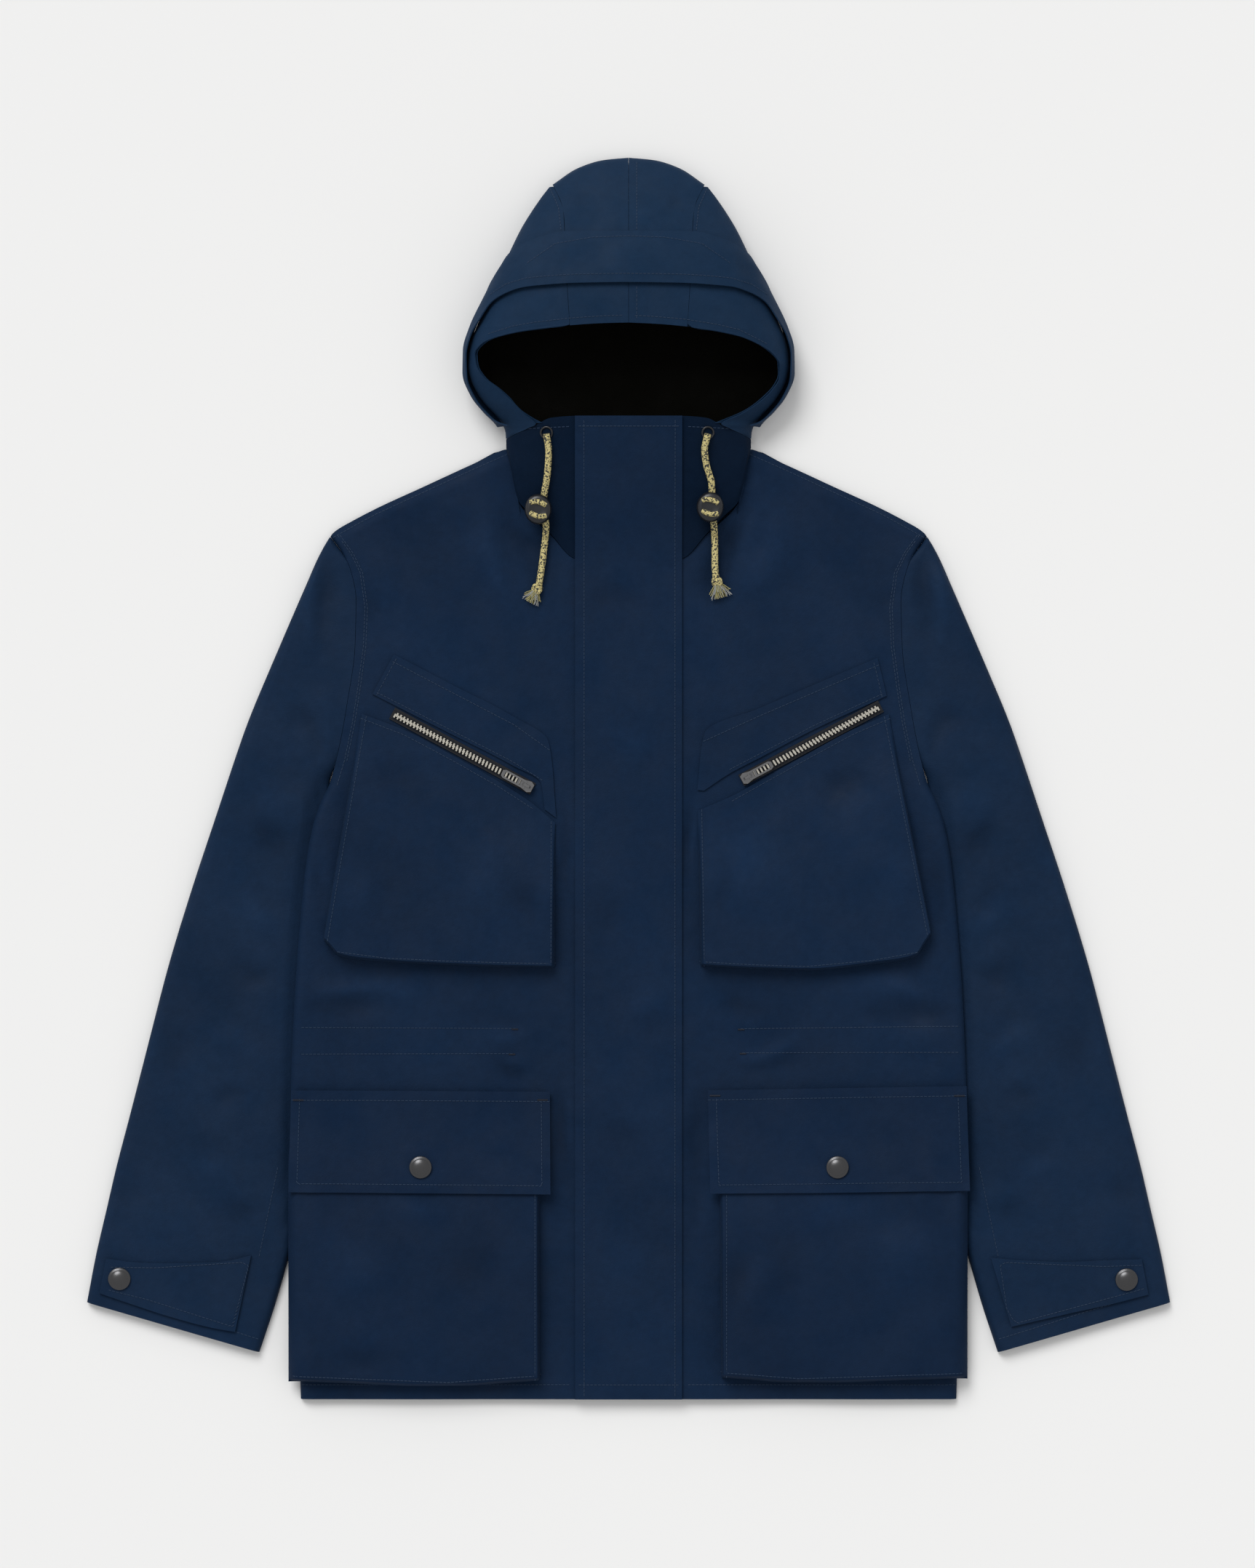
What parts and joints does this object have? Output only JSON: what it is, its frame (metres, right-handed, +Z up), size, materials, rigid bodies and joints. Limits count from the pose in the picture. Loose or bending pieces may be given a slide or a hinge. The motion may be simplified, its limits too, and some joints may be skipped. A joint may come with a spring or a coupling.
{
  "type": "anorak",
  "caption": "Hooded jacket lying flat and front up: full placket, two zipped chest pockets, two flapped lower pockets, drawcords with stoppers.",
  "frame": {"origin": "middle of the bounding box's underside, where the back lies on its surface", "axes": "+X to the jacket's left-hand side as it is seen from above, +Y from hem to hood, +Z up out of the front"},
  "size_m": [0.8928, 1.0232, 0.0683],
  "materials": {
    "navy_waxed_cotton": "matt",
    "lining": "matt",
    "zip_tape": "matt",
    "zip_teeth": "satin",
    "gunmetal": "satin",
    "cord": "matt",
    "tassel": "matt",
    "stopper": "satin"
  },
  "bodies": {
    "garment": {"back": "navy_waxed_cotton", "chest_bag_left": "navy_waxed_cotton", "chest_bag_right": "navy_waxed_cotton", "chest_yoke_left": "navy_waxed_cotton", "chest_yoke_right": "navy_waxed_cotton", "collar_left": "navy_waxed_cotton", "collar_right": "navy_waxed_cotton", "cord_left": "cord", "cord_right": "cord", "cord_tail_left": "cord", "cord_tail_right": "cord", "cuff_snap_left": "gunmetal", "cuff_snap_right": "gunmetal", "cuff_tab_left": "navy_waxed_cotton", "cuff_tab_right": "navy_waxed_cotton", "front_left": "navy_waxed_cotton", "front_right": "navy_waxed_cotton", "hood_crown_left": "navy_waxed_cotton", "hood_crown_right": "navy_waxed_cotton", "hood_facing": "navy_waxed_cotton", "hood_lining": "lining", "hood_side_left": "navy_waxed_cotton", "hood_side_right": "navy_waxed_cotton", "hood_storm_flap": "navy_waxed_cotton", "lower_bag_left": "navy_waxed_cotton", "lower_bag_right": "navy_waxed_cotton", "placket": "navy_waxed_cotton", "pocket_flap_left": "navy_waxed_cotton", "pocket_flap_right": "navy_waxed_cotton", "pocket_snap_left": "gunmetal", "pocket_snap_right": "gunmetal", "sleeve_left": "navy_waxed_cotton", "sleeve_right": "navy_waxed_cotton", "slider_left": "gunmetal", "slider_right": "gunmetal", "stopper_left": "stopper", "stopper_right": "stopper", "tassel_left": "tassel", "tassel_right": "tassel", "zip_chain_left": "zip_teeth", "zip_chain_right": "zip_teeth", "zip_tape_left": "zip_tape", "zip_tape_right": "zip_tape"},
    "pull_tab_left": {"pull_tab_left": "gunmetal"},
    "pull_tab_right": {"pull_tab_right": "gunmetal"}
  },
  "joints": [
    {"name": "pull_tab_left_hinge", "type": "hinge", "parent": "garment", "child": "pull_tab_left", "pos_m": [-0.08524, -0.00573, 0.01763], "axis": [0.4744, 0.8803, 0], "range_deg": [0, 120]},
    {"name": "pull_tab_right_hinge", "type": "hinge", "parent": "garment", "child": "pull_tab_right", "pos_m": [0.09924, 0.00126, 0.01761], "axis": [0.4702, -0.8826, 0], "range_deg": [0, 120]}
  ]
}
